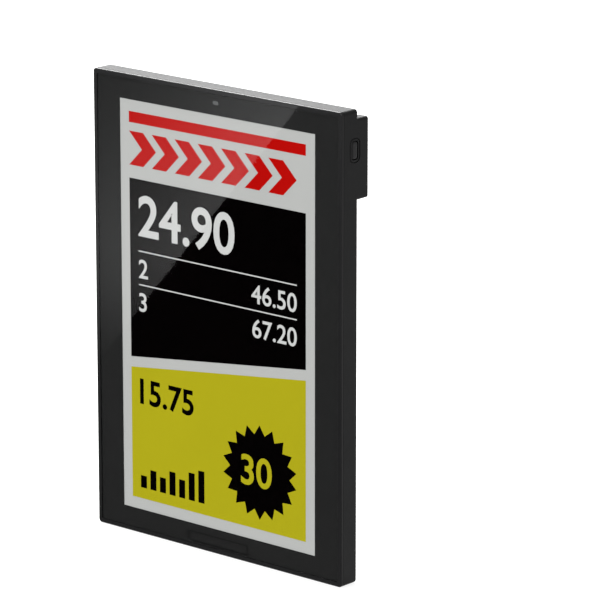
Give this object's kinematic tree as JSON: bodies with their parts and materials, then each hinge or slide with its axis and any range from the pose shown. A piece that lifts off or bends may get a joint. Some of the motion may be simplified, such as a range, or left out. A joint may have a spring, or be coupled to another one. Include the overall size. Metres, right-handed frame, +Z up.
{
  "type": "electronic shelf label",
  "caption": "Slim upright electronic paper display in a black frame, with a clear front window, a side key and a battery housing with a clip-on cover across the top of its back.",
  "frame": {"origin": "under the middle of the label's box, at the height of its lower edge", "axes": "+X to the viewer's right when the screen is read, +Y from the front face to the back, +Z up"},
  "size_m": [0.127, 0.0152, 0.185],
  "materials": {
    "bezel": "fine satin black moulding",
    "window": "clear, gloss",
    "border": "black print on the back of the window",
    "tape": "black adhesive tape",
    "film": "light grey electronic paper",
    "panel_glass": "thin display glass",
    "chip": "bare black chip",
    "flex": "amber ribbon",
    "foam": "black foam",
    "frame": "grey moulding",
    "board": "green solder mask",
    "connector": "ivory moulding",
    "shield": "tinned sheet",
    "parts": "black moulded packages",
    "antenna": "stamped strip",
    "coil": "copper film",
    "led": "moulded lens",
    "guide": "clear moulding",
    "switch": "black moulding",
    "plunger": "grey moulding",
    "key": "satin black moulding",
    "case": "fine textured black moulding",
    "cell": "nickel plated can",
    "contact": "plated spring strip",
    "screw": "plated",
    "cover": "fine textured black moulding",
    "pad": "grey foam"
  },
  "bodies": {
    "label": {"front_bezel": "bezel", "cover_window": "window", "window_border": "border", "window_tape": "tape", "display_film": "film", "display_glass": "panel_glass", "driver_chip": "chip", "display_flex": "flex", "panel_foam": "foam", "mid_frame": "frame", "main_board": "board", "flex_connector": "connector", "shield_can": "shield", "board_components": "parts", "radio_antenna": "antenna", "nfc_antenna": "coil", "status_led": "led", "light_guide": "guide", "tactile_switch": "switch", "rear_case": "case", "coin_cells": "cell", "negative_springs": "contact", "positive_contacts": "contact", "case_screws": "screw"},
    "key": {"side_button": "key", "switch_plunger": "plunger"},
    "cover": {"battery_cover": "cover", "cell_pads": "pad"}
  },
  "joints": [
    {"name": "key_press", "type": "slide", "parent": "label", "child": "key", "axis": [-1, 0, 0], "range_m": [0, 0.0005], "stiffness_N_per_m": 600, "springref_m": -0.0005},
    {"name": "cover_release", "type": "slide", "parent": "label", "child": "cover", "axis": [0, 1, 0], "range_m": [0, 0.025]}
  ]
}
